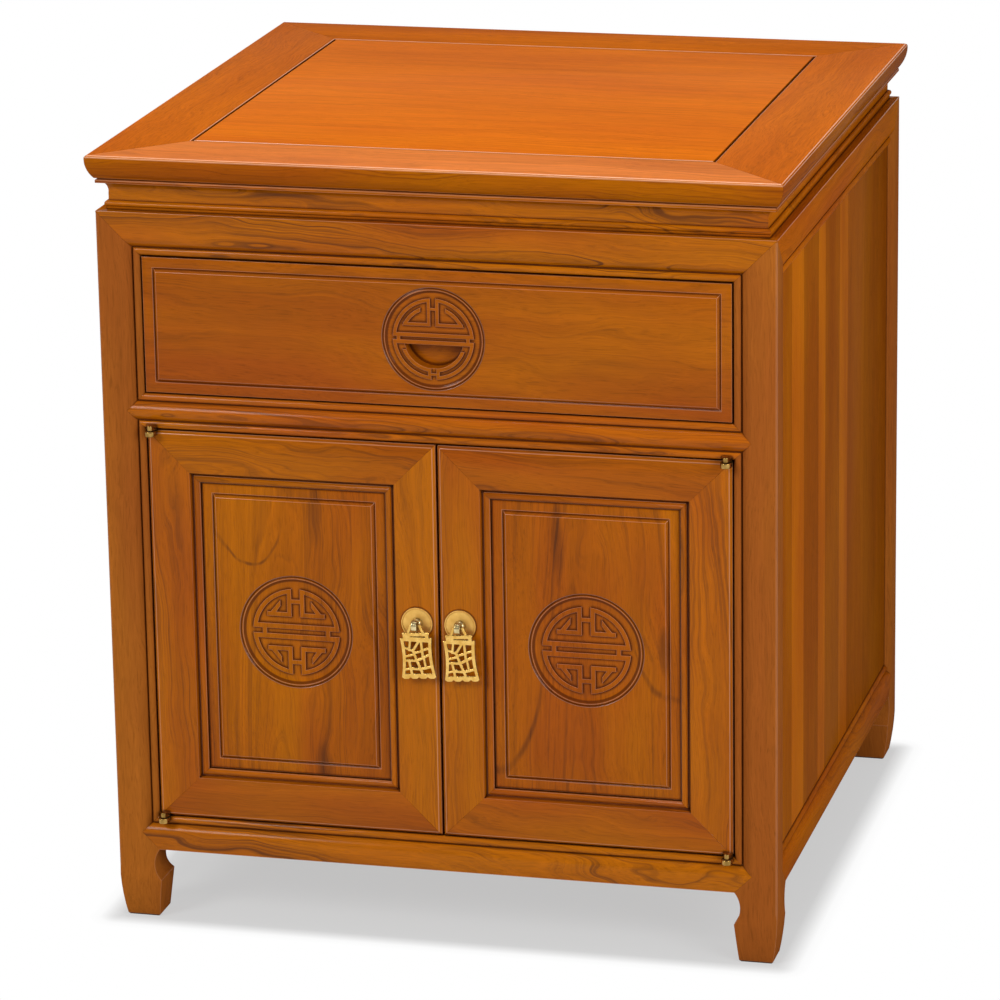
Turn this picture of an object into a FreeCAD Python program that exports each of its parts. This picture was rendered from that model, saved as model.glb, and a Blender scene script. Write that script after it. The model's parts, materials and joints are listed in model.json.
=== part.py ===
import FreeCAD, Part
import math
import os

from FreeCAD import Vector

# Sizes are in millimetres. X runs to the right, Y to the back and Z up.
# The origin is on the floor, under the middle of the whole cabinet.

# Case
total_height = 660.0
case_width = 566.0
case_depth = 556.0
member = 36.0                  # square section of posts and top rails
leg_height = 62.0              # floor to the underside of the bottom rails
bottom_rail_height = 29.5
rail_thickness = 30.0
drawer_opening_height = 117.0
top_overhang = 6.0

# Moulded edge round each opening: bead, quirk and rounded shoulder
moulding_width = 14.75
bead_width = 5.8
bead_crown_depth = 2.2
bead_crown_bow_share = 0.29
quirk_width = 0.8
shoulder_bow_share = 0.16

# Rail joints: pointed shoulder in front, tenon behind it
shoulder_depth = 12.0
tenon_depth = 14.0
tenon_thickness = 10.0
tenon_wall = 1.0
tenon_cheek = 4.0
corner_tenon_near = 13.0
corner_tenon_size = 12.0
corner_tenon_cover = 8.0

# Legs below the rails
leg_curve_height = 46.0
leg_curve_inset = 4.5
leg_curve_bow_share = 0.025
leg_cusp_height = 34.0
leg_cusp_reach = 0.5
leg_scoop_bow_share = 0.18
leg_foot_taper = 3.5
foot_chamfer = 1.5

# Top: mitred frame, floating panel and batten
top_thickness = 24.0
top_frame_width = 69.0
top_arris = 1.5
top_fascia = 4.0
top_ogee_inset = 6.0
top_ogee_foot = 19.8
top_ogee_bow_share = 0.08
top_quirk_inset = 8.5
top_quirk_height = 0.5
top_lip_inset = 6.6
top_lip_height = 2.5
top_panel_gap = 2.5
top_panel_thickness = 12.0
batten_width = 40.0
batten_thickness = 12.0
batten_tenon = 12.0

# Waist moulding between the top and the case
waist_height = 23.0
waist_depth = 22.0
waist_inset = 11.8
waist_throat_inset = 15.1
waist_throat_drop = 9.5
waist_throat_height = 6.0
waist_cove_bow_share = 0.12
waist_bead_height = 5.0
waist_bead_bow_share = 0.4
waist_foot_inset = 13.5

# Panels in their grooves
tongue_reach = 6.0
tongue_thickness = 6.0
tongue_depth = 7.5
panel_gap = 0.8
side_panel_depth = 4.5
panel_thickness = 10.0
floor_drop = 2.0
floor_thickness = 10.0

# Raised fields on the drawer front and the door panels
field_border = 8.6
field_quirk_width = 0.9
field_quirk_depth = 0.8
field_slope_width = 2.4
field_rise = 2.0

# Drawer
drawer_gap = 1.5
drawer_recess = 3.0
drawer_front_thickness = 20.0
drawer_rear_space = 38.5
drawer_inset = 7.0
drawer_side_thickness = 12.0
drawer_side_height = 94.0
drawer_side_housing = 9.0
drawer_back_drop = 12.0
drawer_bottom_thickness = 6.0
drawer_bottom_lift = 9.0
drawer_bottom_tongue = 5.0
slide_clearance = 0.3
guide_clearance = 1.0
runner_ledge = 16.0
runner_outset = 14.0
runner_height = 14.0
guide_height = 30.0
kicker_height = 18.0
kicker_clearance = 2.0

# Doors
door_gap = 1.5
meeting_gap = 2.0
door_recess = 2.0
door_thickness = 20.0
door_arris = 2.2
door_shoulder_start = 30.0
door_shoulder_width = 6.5
door_quirk_width = 1.2
door_bead_width = 5.3
door_bead_crown = 1.6
door_panel_depth = 5.2
door_panel_thickness = 11.0
door_tongue_depth = 8.0
door_tongue_thickness = 5.0

# Carved roundels, in millimetres of radius and shares of that radius
door_roundel_radius = 48.5
drawer_roundel_radius = 43.0
carving_depth = 1.6
strip_drop = 0.25
ring_groove_depth = 0.9
ring_groove_share = 0.98
ring_crest_share = 0.95
ring_inner_share = 0.905
pocket_depth = 13.0

# Door pivots
pivot_inset = 5.5
pivot_reach = 3.0
knuckle_radius = 4.5
knuckle_back = 1.5
knuckle_height = 4.4
knuckle_gap = 0.3
pin_radius = 1.2
pin_clearance = 0.05
leaf_thickness = 1.5
leaf_width = 8.0
leaf_setback = 8.0
leaf_length = 40.0

# Door pulls
pull_setback = 18.3
pull_height = 277.0
plate_radius = 13.2
plate_thickness = 1.8
eye_radius = 4.8
eye_hole_radius = 1.7
eye_half_width = 2.3
eye_standoff = 6.2
eye_neck_reach = 4.2
eye_neck_half = 2.4
shank_half = 1.2
split_reach = 7.0
split_thickness = 1.0
bail_half = 0.9
bail_strip_width = 1.8
bail_top_half = 4.6
bail_foot_half = 7.6
bail_drop = 10.6
pendant_thickness = 2.0
pendant_head_half = 10.9
pendant_head_height = 4.6
pendant_shoulder_half = 13.4
pendant_foot_half = 14.6
pendant_height = 38.0
pendant_side_bow_share = 0.045
pendant_border = 2.8
pendant_bar = 2.0
pendant_tilt_degrees = 4.0
scallop_count = 4
scallop_drop = 1.4
scallop_flat_share = 0.5

# Magnetic catch and its strikes
catch_half_width = 22.0
catch_height = 12.0
catch_length = 18.0
strike_thickness = 1.0
strike_width = 14.0
strike_height = 9.0
strike_setback = 3.0
catch_clearance = 0.3

# One run past the piece serves every cut
overrun = 5.0

# Places worked out from the sizes above
half_width = case_width / 2
half_depth = case_depth / 2
pull_reach = eye_standoff + eye_radius + plate_thickness - door_recess
front = pull_reach - (pull_reach + case_depth + top_overhang) / 2
back = front + case_depth
middle = (front + back) / 2
case_top = total_height - top_thickness - waist_height
top_rail_low = case_top - member
drawer_low = top_rail_low - drawer_opening_height
mid_rail_low = drawer_low - 2 * moulding_width
bottom_rail_top = leg_height + bottom_rail_height
opening_half = half_width - member
side_opening_half = half_depth - member
tenon_length = member - tenon_depth - tenon_thickness - tenon_wall
bead_side_depth = bead_crown_depth + bead_crown_bow_share * bead_width
bead_foot_depth = bead_crown_depth + bead_width / 2
half_bow_share = 0.5

parts = {}


def front_face(a, b, t):
    return Vector(a, front + t, b)


def back_face(a, b, t):
    return Vector(a, back - t, b)


def left_face(a, b, t):
    return Vector(t - half_width, middle + a, b)


def right_face(a, b, t):
    return Vector(half_width - t, middle + a, b)


def flat_at(level):
    """Places on a level seen from above: across, to the back, and down from it."""
    return lambda a, b, t: Vector(a, middle + b, level - t)


sides = {
    "front": (front_face, half_width),
    "back": (back_face, half_width),
    "left": (left_face, half_depth),
    "right": (right_face, half_depth),
}


def block(place, low, high, near, far):
    """A rectangular bar: two corners in a face's plane and two depths below it."""
    first = place(low[0], low[1], near)
    second = place(high[0], high[1], far)
    corner = Vector(min(first.x, second.x), min(first.y, second.y), min(first.z, second.z))
    size = second - first
    return Part.makeBox(abs(size.x), abs(size.y), abs(size.z), corner)


def outline(path, to_space):
    """A closed wire through points. A third number bows the run to its point, as a share of it."""
    edges = []
    here = path[-1]
    for point in path:
        start = to_space(here[0], here[1])
        end = to_space(point[0], point[1])
        if len(point) == 3:
            across = (here[0] + point[0]) / 2 - (point[1] - here[1]) * point[2]
            along = (here[1] + point[1]) / 2 + (point[0] - here[0]) * point[2]
            edges.append(Part.Arc(start, to_space(across, along), end).toShape())
        else:
            edges.append(Part.LineSegment(start, end).toShape())
        here = point
    return Part.Wire(edges)


def prism(place, path, near, far):
    """An outline in a face's plane, run from one depth to another."""
    wire = outline(path, lambda a, b: place(a, b, near))
    return Part.Face(wire).extrude(place(0, 0, far) - place(0, 0, near))


def rectangle_sides(place, low, high):
    """The four sides of a rectangle: (run, outward, depth) to space, and each run's ends."""
    (a0, b0), (a1, b1) = low, high
    return {
        "low": (lambda s, d, t: place(s, b0 - d, t), a0, a1),
        "high": (lambda s, d, t: place(s, b1 + d, t), a0, a1),
        "left": (lambda s, d, t: place(a0 - d, s, t), b0, b1),
        "right": (lambda s, d, t: place(a1 + d, s, t), b0, b1),
    }


def mitred_bars(section, place, low, high):
    """Bars of one section round a rectangle, mitred where they meet.

    The section is an outline in outward distance and depth.
    """
    outer = max(max(point[0] for point in section), 0)
    inner = max(-min(point[0] for point in section), 0)
    shallow = min(point[1] for point in section) - overrun
    deep = max(point[1] for point in section) + overrun
    bars = {}
    for name, (to_space, start, end) in rectangle_sides(place, low, high).items():
        first = start - outer
        last = end + outer
        wire = outline(section, lambda d, t: to_space(first, d, t))
        bar = Part.Face(wire).extrude(to_space(last, 0, 0) - to_space(first, 0, 0))
        trapezium = [
            (first - overrun, outer + overrun),
            (last + overrun, outer + overrun),
            (end - inner - overrun, -inner - overrun),
            (start + inner + overrun, -inner - overrun),
        ]
        bars[name] = bar.common(prism(to_space, trapezium, shallow, deep))
    return bars


def cut_all(shape, cutters):
    for cutter in cutters:
        shape = shape.cut(cutter)
    return shape


def joined(shapes):
    whole = shapes[0].multiFuse(shapes[1:])
    return whole.removeSplitter()


def opening_cutters(place, low, high):
    """What is planed off round an opening to leave bead, quirk and shoulder."""
    section = [
        (0, -overrun),
        (0, bead_side_depth),
        (bead_width, bead_side_depth, -bead_crown_bow_share),
        (bead_width, bead_foot_depth),
        (bead_width + quirk_width, bead_foot_depth),
        (moulding_width, 0, -shoulder_bow_share),
        (moulding_width, -overrun),
    ]
    return list(mitred_bars(section, place, low, high).values())


def field_cutters(place, low, high, border_depth):
    """What is planed off round a raised field: flat border, quirk and slope."""
    quirk = field_border + field_quirk_width
    crest = quirk + field_slope_width
    section = [
        (0, -overrun),
        (0, border_depth),
        (-field_border, border_depth),
        (-quirk, border_depth + field_quirk_depth),
        (-crest, border_depth - field_rise),
        (-crest, -overrun),
    ]
    return list(mitred_bars(section, place, low, high).values())


def case_openings():
    """Moulding cutters of the drawer, door and side openings."""
    cutters = opening_cutters(
        front_face, (-opening_half, drawer_low), (opening_half, top_rail_low))
    cutters += opening_cutters(
        front_face, (-opening_half, bottom_rail_top), (opening_half, mid_rail_low))
    for face in (left_face, right_face):
        cutters += opening_cutters(
            face, (-side_opening_half, bottom_rail_top), (side_opening_half, top_rail_low))
    return cutters


def post(across, along, cutters):
    """A corner post with its shaped leg, mitred at the top into both top rails."""
    edge = front if along < 0 else back

    def corner(u, v, z):
        return Vector(across * (half_width - u), edge - along * v, z)

    inner = member + leg_cusp_reach
    foot = inner - leg_foot_taper
    silhouette = [
        (0, case_top),
        (0, leg_curve_height),
        (leg_curve_inset, foot_chamfer, -leg_curve_bow_share),
        (leg_curve_inset + foot_chamfer, 0),
        (foot - foot_chamfer, 0),
        (foot, foot_chamfer),
        (inner, leg_cusp_height),
        (member, leg_height, leg_scoop_bow_share),
        (member, case_top),
    ]
    past = member + overrun
    seen_from_front = prism(lambda u, z, v: corner(u, v, z), silhouette, -overrun, past)
    seen_from_side = prism(lambda v, z, u: corner(u, v, z), silhouette, -overrun, past)
    shape = seen_from_front.common(seen_from_side)
    mitre = [(-overrun, case_top + overrun), (past, case_top - past), (past, case_top + overrun)]
    shape = shape.cut(prism(lambda u, z, v: corner(u, v, z), mitre, -overrun, past))
    shape = shape.cut(prism(lambda v, z, u: corner(u, v, z), mitre, -overrun, past))
    near = corner_tenon_near
    far = near + corner_tenon_size
    low = corner(near, near, case_top - member)
    high = corner(far, far, case_top - corner_tenon_cover)
    size = high - low
    start = Vector(min(low.x, high.x), min(low.y, high.y), low.z)
    tenon = Part.makeBox(abs(size.x), abs(size.y), size.z, start)
    return joined([cut_all(shape, cutters), tenon]), tenon


def top_rails(tenons, cutters):
    """Four top rails, mitred to each other above and to the posts on their faces."""
    section = [(0, 0), (0, member), (-member, member), (-member, 0)]
    low = (-half_width, -half_depth)
    high = (half_width, half_depth)
    place = flat_at(case_top)
    bars = mitred_bars(section, place, low, high)
    rails = {}
    past = member + overrun
    for name, (to_space, start, end) in rectangle_sides(place, low, high).items():
        rail = bars[name]
        for corner, inward in ((start, 1), (end, -1)):
            below = [
                (corner - inward * overrun, -overrun),
                (corner + inward * past, past),
                (corner - inward * overrun, past),
            ]
            rail = rail.cut(prism(lambda s, t, d: to_space(s, d, t), below, overrun, -past))
        rails[name] = cut_all(cut_all(rail, tenons), cutters)
    return {"front": rails["low"], "back": rails["high"], "left": rails["left"],
            "right": rails["right"]}


def rail(side, low, high, cutters):
    """A rail between two posts: pointed shoulders on the face and a tenon behind them."""
    place, half_span = sides[side]
    reach = half_span - member
    tip = reach + moulding_width
    centre = (low + high) / 2
    pointed = [(-reach, low), (reach, low), (tip, centre), (reach, high), (-reach, high),
               (-tip, centre)]
    shoulders = prism(place, pointed, 0, shoulder_depth)
    body = block(place, (-reach, low), (reach, high), 0, rail_thickness)
    end = reach + tenon_length
    tenon = block(place, (-end, low + tenon_cheek), (end, high - tenon_cheek),
                  tenon_depth, tenon_depth + tenon_thickness)
    return cut_all(joined([body, shoulders, tenon]), cutters)


def floating_panel(place, low, high, face_depth, thickness, gap, tongue):
    """A panel that fills an opening, with a tongue all round for the frame's groove."""
    depth, height = tongue
    field = block(place, (low[0] + gap, low[1] + gap), (high[0] - gap, high[1] - gap),
                  face_depth, face_depth + thickness)
    edge = block(place, (low[0] - tongue_reach, low[1] - tongue_reach),
                 (high[0] + tongue_reach, high[1] + tongue_reach), depth, depth + height)
    return joined([field, edge])


def seat(names, guests):
    """Each named piece is mortised, grooved or housed for the pieces that it holds."""
    for name in names:
        parts[name] = cut_all(parts[name], [parts[guest] for guest in guests])


def make_case():
    cutters = case_openings()
    tenons = []
    for end, along in (("front", -1), ("back", 1)):
        for side, across in (("left", -1), ("right", 1)):
            shape, tenon = post(across, along, cutters)
            parts["post_%s_%s" % (end, side)] = shape
            tenons.append(tenon)
    for name, shape in top_rails(tenons, cutters).items():
        parts["top_rail_" + name] = shape
    for name in sides:
        parts["bottom_rail_" + name] = rail(name, leg_height, bottom_rail_top, cutters)
    parts["middle_rail"] = rail("front", mid_rail_low, drawer_low, cutters)


def make_panels():
    """Side and back panels in their grooves, and the cupboard floor."""
    low = (-side_opening_half, bottom_rail_top)
    high = (side_opening_half, top_rail_low)
    tongue = (tongue_depth, tongue_thickness)
    for name in ("left", "right"):
        parts["side_panel_" + name] = floating_panel(
            sides[name][0], low, high, side_panel_depth, panel_thickness, panel_gap, tongue)
    parts["back_panel"] = floating_panel(
        back_face, (-opening_half, bottom_rail_top), (opening_half, top_rail_low),
        side_panel_depth, panel_thickness, panel_gap, tongue)
    level = bottom_rail_top - floor_drop
    across = half_width - rail_thickness + tongue_reach
    along = half_depth - rail_thickness + tongue_reach
    parts["cupboard_floor"] = block(
        flat_at(level), (-across, -along), (across, along), 0, floor_thickness)


def seat_case():
    posts = [name for name in parts if name.startswith("post_")]
    bottom_rails = ["bottom_rail_" + name for name in sides]
    low_parts = bottom_rails + ["middle_rail"]
    panels = ["side_panel_left", "side_panel_right", "back_panel"]
    top = ["top_rail_" + name for name in sides]
    seat(posts, low_parts + panels)
    seat(top + bottom_rails, panels)
    seat(["cupboard_floor"], posts)
    seat(bottom_rails, ["cupboard_floor"])


def make_top():
    """Mitred frame with a moulded edge, a flush floating panel and the batten under it."""
    lip_top = top_thickness - top_lip_height
    edge = [
        (-top_arris, 0),
        (0, top_arris),
        (0, top_fascia),
        (-top_ogee_inset, top_ogee_foot, -top_ogee_bow_share),
        (-top_quirk_inset, top_ogee_foot + top_quirk_height),
        (-top_lip_inset, lip_top),
        (-top_lip_inset, top_thickness),
        (-top_frame_width, top_thickness),
        (-top_frame_width, 0),
    ]
    low = (-half_width - top_overhang, -half_depth - top_overhang)
    high = (half_width + top_overhang, half_depth + top_overhang)
    place = flat_at(total_height)
    bars = mitred_bars(edge, place, low, high)
    names = {"low": "front", "high": "back", "left": "left", "right": "right"}
    for key, name in names.items():
        parts["top_frame_" + name] = bars[key]
    inner_low = (low[0] + top_frame_width, low[1] + top_frame_width)
    inner_high = (high[0] - top_frame_width, high[1] - top_frame_width)
    tongue = (top_fascia, tongue_thickness)
    parts["top_panel"] = floating_panel(
        place, inner_low, inner_high, 0, top_panel_thickness, top_panel_gap, tongue)
    parts["top_batten"] = block(
        place, (-batten_width / 2, inner_low[1] - batten_tenon),
        (batten_width / 2, inner_high[1] + batten_tenon),
        top_panel_thickness, top_panel_thickness + batten_thickness)
    seat(["top_frame_" + name for name in names.values()], ["top_panel", "top_batten"])


def make_waist():
    """Four mitred lengths of cove and bead between the top and the case."""
    under = top_thickness
    throat = under + waist_throat_drop
    bead = throat + waist_throat_height
    section = [
        (-waist_inset, under),
        (-waist_throat_inset, throat, waist_cove_bow_share),
        (-waist_throat_inset, bead),
        (-waist_foot_inset, bead + waist_bead_height, -waist_bead_bow_share),
        (-waist_foot_inset, under + waist_height),
        (-waist_inset - waist_depth, under + waist_height),
        (-waist_inset - waist_depth, under),
    ]
    low = (-half_width - top_overhang, -half_depth - top_overhang)
    high = (half_width + top_overhang, half_depth + top_overhang)
    bars = mitred_bars(section, flat_at(total_height), low, high)
    parts["waist_front"] = bars["low"]
    parts["waist_back"] = bars["high"]
    parts["waist_left"] = bars["left"]
    parts["waist_right"] = bars["right"]


def disc(place, centre, radius, near, far):
    axis = place(0, 0, far) - place(0, 0, near)
    return Part.makeCylinder(radius, axis.Length, place(centre[0], centre[1], near), axis)


def band(place, centre, inner, outer, near, far):
    return disc(place, centre, outer, near, far).cut(disc(place, centre, inner, near, far))


# Fret strips of the two roundels, as shares of the radius
door_fret_shares = {
    "arc": (0.69, 0.768),
    "bar": (0.075, 0.155),
    "bar_foot": 0.265,
    "cross": (0.505, 0.58),
    "foot": (0.265, 0.345),
    "foot_end": 0.51,
    "beam": (0.045, 0.135),
    "stile": (0.52, 0.60),
}
door_hook_shares = [(0.51, 0.265), (0.27, 0.56), (0.27, 0.455), (0.345, 0.345)]
drawer_fret_shares = {
    "arc": (0.72, 0.79),
    "bar": (0.048, 0.115),
    "bar_foot": 0.245,
    "cross": (0.553, 0.605),
    "foot": (0.245, 0.31),
    "foot_end": 0.58,
    "beam": (0.03, 0.11),
    "stile": (0.64, 0.71),
    "inner_arc": (0.575, 0.645),
    "inner_arc_end": 0.24,
    "rim_end": 0.22,
    "low_cross": (0.66, 0.71),
}


def rectangle(place, low, high):
    """A strip's blank between two corners in the roundel's plane."""
    return block(place, low, high, strip_drop, carving_depth + overrun)


def half_fret(place, radius, up, shares, has_hook):
    """One half of the fret: arc, two bars with their cross-piece and feet, and a beam."""
    near = strip_drop
    far = carving_depth + overrun
    arc_in, arc_out = (share * radius for share in shares["arc"])
    bar_in, bar_out = (share * radius for share in shares["bar"])
    beam_in, beam_out = (share * radius for share in shares["beam"])
    ring = band(place, (0, 0), arc_in, arc_out, near, far)
    window = [(bar_in, beam_in), (radius, beam_in), (radius, radius), (bar_in, radius)]
    round_field = disc(place, (0, 0), arc_out, near, far)
    strips = []
    for side in (-1, 1):
        def at(a, b, t, side=side):
            return place(side * a, up * b, t)
        strips.append(ring.common(prism(at, window, near, far)))
        foot = shares["bar_foot"] * radius
        bar = rectangle(at, (bar_in, foot), (bar_out, radius))
        strips.append(bar.common(round_field))
        strips.append(rectangle(at, (bar_in, foot),
                                (shares["foot_end"] * radius, shares["foot"][1] * radius)))
        if has_hook:
            hook = [(a * radius, b * radius) for a, b in door_hook_shares]
            strips.append(prism(at, hook, near, far))
        stile_in, stile_out = (share * radius for share in shares["stile"])
        strips.append(rectangle(at, (stile_in, 0), (stile_out, beam_out)))
    cross_low, cross_high = (share * radius for share in shares["cross"])

    def level(a, b, t):
        return place(a, up * b, t)

    strips.append(rectangle(level, (-bar_in, cross_low), (bar_in, cross_high)))
    beam = rectangle(level, (-radius, beam_in), (radius, beam_out))
    strips.append(beam.common(round_field))
    return strips


def door_fret(place, radius):
    upper = half_fret(place, radius, 1, door_fret_shares, True)
    lower = half_fret(place, radius, -1, door_fret_shares, True)
    return joined(upper + lower)


def drawer_fret(place, radius):
    """The drawer's fret: hooks as inner arcs above, and a double arc round the pocket below."""
    shares = drawer_fret_shares
    near = strip_drop
    far = carving_depth + overrun
    strips = half_fret(place, radius, 1, shares, False)
    inner = band(place, (0, 0), shares["inner_arc"][0] * radius, shares["inner_arc"][1] * radius,
                 near, far)
    outer = band(place, (0, 0), shares["arc"][0] * radius, shares["arc"][1] * radius, near, far)
    round_field = disc(place, (0, 0), shares["arc"][1] * radius, near, far)
    beam_in, beam_out = (share * radius for share in shares["beam"])
    beam = rectangle(place, (-radius, -beam_out), (radius, -beam_in))
    strips.append(beam.common(round_field))
    bar_in = shares["bar"][0] * radius
    bar_out = shares["bar"][1] * radius
    for side in (-1, 1):
        def at(a, b, t, side=side):
            return place(side * a, b, t)
        hook = [(shares["inner_arc_end"] * radius, shares["foot"][0] * radius),
                (radius, shares["foot"][0] * radius), (radius, radius),
                (shares["inner_arc_end"] * radius, radius)]
        strips.append(inner.common(prism(at, hook, near, far)))
        below = [(bar_in, -beam_in), (radius, -beam_in), (radius, -radius), (bar_in, -radius)]
        strips.append(outer.common(prism(at, below, near, far)))
        rim = [(bar_in, -shares["rim_end"] * radius), (radius, -shares["rim_end"] * radius),
               (radius, -radius), (bar_in, -radius)]
        strips.append(inner.common(prism(at, rim, near, far)))
        low = (bar_in, -shares["arc"][1] * radius)
        high = (bar_out, -shares["inner_arc"][0] * radius)
        strips.append(rectangle(at, low, high).common(round_field))
        stile_in, stile_out = (share * radius for share in shares["stile"])
        strips.append(rectangle(at, (stile_in, -beam_out), (stile_out, 0)))
    cross_low, cross_high = (share * radius for share in shares["low_cross"])
    strips.append(rectangle(place, (-bar_in, -cross_high), (bar_in, -cross_low)))
    return joined(strips)


def roundel_cutter(place, radius, fret):
    """What is carved away for a roundel: a groove, a raised ring and the ground, less the fret."""

    def to_space(r, t):
        return place(r, 0, t)

    path = [
        (0, -overrun),
        (radius, -overrun),
        (radius, 0),
        (ring_groove_share * radius, ring_groove_depth),
        (ring_crest_share * radius, strip_drop),
        (ring_inner_share * radius, carving_depth),
        (0, carving_depth),
    ]
    face = Part.Face(outline(path, to_space))
    axis = place(0, 0, 0) - place(0, 0, overrun)
    return face.revolve(place(0, 0, 0), axis, 360).cut(fret)


def make_drawer():
    """Drawer front with its raised field and carved roundel, and the box behind it."""
    half = opening_half - drawer_gap
    low = (-half, drawer_low + drawer_gap)
    high = (half, top_rail_low - drawer_gap)
    field_depth = drawer_recess - field_rise
    front_back = field_depth + drawer_front_thickness
    shape = block(front_face, low, high, field_depth, front_back)
    shape = cut_all(shape, field_cutters(front_face, low, high, drawer_recess))
    centre = (low[1] + high[1]) / 2

    def carved(a, b, t):
        return front_face(a, centre + b, field_depth + t)

    radius = drawer_roundel_radius
    shape = shape.cut(roundel_cutter(carved, radius, drawer_fret(carved, radius)))
    beam_low = -drawer_fret_shares["beam"][1] * radius
    rim = drawer_fret_shares["inner_arc"][0] * radius
    pocket = disc(carved, (0, 0), rim, -overrun, pocket_depth)
    below = [(-radius, beam_low), (-radius, -radius), (radius, -radius), (radius, beam_low)]
    shape = shape.cut(pocket.common(prism(carved, below, -overrun, pocket_depth)))
    parts["drawer_front"] = shape

    side_low = drawer_low + slide_clearance
    side_high = side_low + drawer_side_height
    outer = opening_half - drawer_inset
    inner = outer - drawer_side_thickness
    start = front_back - drawer_side_housing
    end = case_depth - side_panel_depth - panel_thickness - drawer_rear_space
    for name, across in (("left", -1), ("right", 1)):
        def at(a, b, t, across=across):
            return front_face(across * a, b, t)
        parts["drawer_side_" + name] = block(at, (inner, side_low), (outer, side_high), start, end)
    bottom_low = side_low + drawer_bottom_lift
    back_near = end - drawer_side_thickness - drawer_side_housing
    parts["drawer_back"] = block(
        front_face, (-inner - drawer_bottom_tongue, bottom_low + drawer_bottom_thickness),
        (inner + drawer_bottom_tongue, side_high - drawer_back_drop),
        back_near, back_near + drawer_side_thickness)
    parts["drawer_bottom"] = block(
        front_face, (-inner - drawer_bottom_tongue, bottom_low),
        (inner + drawer_bottom_tongue, bottom_low + drawer_bottom_thickness),
        front_back - drawer_bottom_tongue, end)
    seat(["drawer_front"], ["drawer_side_left", "drawer_side_right", "drawer_bottom"])
    seat(["drawer_side_left", "drawer_side_right"], ["drawer_back", "drawer_bottom"])


def make_runners():
    """Ledges with guides that carry the drawer, and kickers that keep it level."""
    box_half = opening_half - drawer_inset
    outer = opening_half + runner_outset
    guide = box_half + guide_clearance
    side_top = drawer_low + slide_clearance + drawer_side_height
    near = member
    far = case_depth - member
    for name, across in (("left", -1), ("right", 1)):
        def at(a, b, t, across=across):
            return front_face(across * a, b, t)
        ledge = block(at, (box_half - runner_ledge, drawer_low - runner_height),
                      (outer, drawer_low), near, far)
        rib = block(at, (guide, drawer_low), (outer, drawer_low + guide_height), near, far)
        parts["drawer_runner_" + name] = joined([ledge, rib])
        kicker_low = side_top + kicker_clearance
        parts["drawer_kicker_" + name] = block(
            at, (box_half - runner_ledge, kicker_low), (outer, kicker_low + kicker_height),
            near, far)


def make_door(name, across):
    """A mitred door frame with a moulded inner edge and a raised, carved panel."""
    outer = opening_half - door_gap
    inner = meeting_gap / 2

    def at(a, b, t):
        return front_face(across * a, b, t)

    low = (inner, bottom_rail_top + door_gap)
    high = (outer, mid_rail_low - door_gap)
    face = door_recess
    behind = face + door_thickness
    shoulder_end = door_shoulder_start + door_shoulder_width
    bead_start = shoulder_end + door_quirk_width
    frame_width = bead_start + door_bead_width
    foot = face + door_bead_crown + door_bead_width / 2
    bead_side = face + door_bead_crown + bead_crown_bow_share * door_bead_width
    section = [
        (-door_arris, face),
        (0, face + door_arris),
        (0, behind),
        (-frame_width, behind),
        (-frame_width, bead_side),
        (-bead_start, bead_side, bead_crown_bow_share),
        (-bead_start, foot),
        (-shoulder_end, foot),
        (-door_shoulder_start, face, shoulder_bow_share),
    ]
    bars = mitred_bars(section, at, low, high)
    frame = {"low": "bottom_rail", "high": "top_rail", "left": "meeting_stile",
             "right": "hinge_stile"}
    for key, piece in frame.items():
        parts["door_%s_%s" % (name, piece)] = bars[key]
    panel_low = (low[0] + frame_width, low[1] + frame_width)
    panel_high = (high[0] - frame_width, high[1] - frame_width)
    border_depth = face + door_panel_depth
    field_depth = border_depth - field_rise
    panel = floating_panel(at, panel_low, panel_high, field_depth, door_panel_thickness,
                           panel_gap, (face + door_tongue_depth, door_tongue_thickness))
    edge_low = (panel_low[0] + panel_gap, panel_low[1] + panel_gap)
    edge_high = (panel_high[0] - panel_gap, panel_high[1] - panel_gap)
    panel = cut_all(panel, field_cutters(at, edge_low, edge_high, border_depth))
    centre_across = (low[0] + high[0]) / 2
    centre_up = (low[1] + high[1]) / 2

    def carved(a, b, t):
        return at(centre_across + a, centre_up + b, field_depth + t)

    radius = door_roundel_radius
    panel = panel.cut(roundel_cutter(carved, radius, door_fret(carved, radius)))
    panel_name = "door_%s_panel" % name
    parts[panel_name] = panel
    seat(["door_%s_%s" % (name, piece) for piece in frame.values()], [panel_name])


def pivot(across, low, high, radius):
    """A pin or bore on the pivot's axis."""
    foot = Vector(across * (opening_half - pivot_inset), front - pivot_reach, low)
    return Part.makeCylinder(radius, high - low, foot)


def knuckle(across, low, high):
    """The round-nosed end of a leaf, which stands out from the face round the pivot."""
    inner = opening_half - pivot_inset - knuckle_radius
    outer = opening_half - pivot_inset + knuckle_radius
    plan = [
        (outer, -pivot_reach, -half_bow_share),
        (outer, knuckle_back),
        (inner, knuckle_back),
        (inner, -pivot_reach),
    ]
    return prism(lambda a, t, z: front_face(across * a, z, t), plan, low, high)


def leaf(across, low, high):
    """The flat angled arm that is let into the edge of the door or of the rail."""
    outer = opening_half - door_gap
    end = leaf_setback + leaf_width

    def at(a, b, t):
        return front_face(across * a, b, t)

    neck = block(at, (outer - leaf_width, low), (outer, high), -pivot_reach, end)
    arm = block(at, (outer - leaf_length, low), (outer, high), leaf_setback, end)
    return joined([neck, arm])


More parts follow.
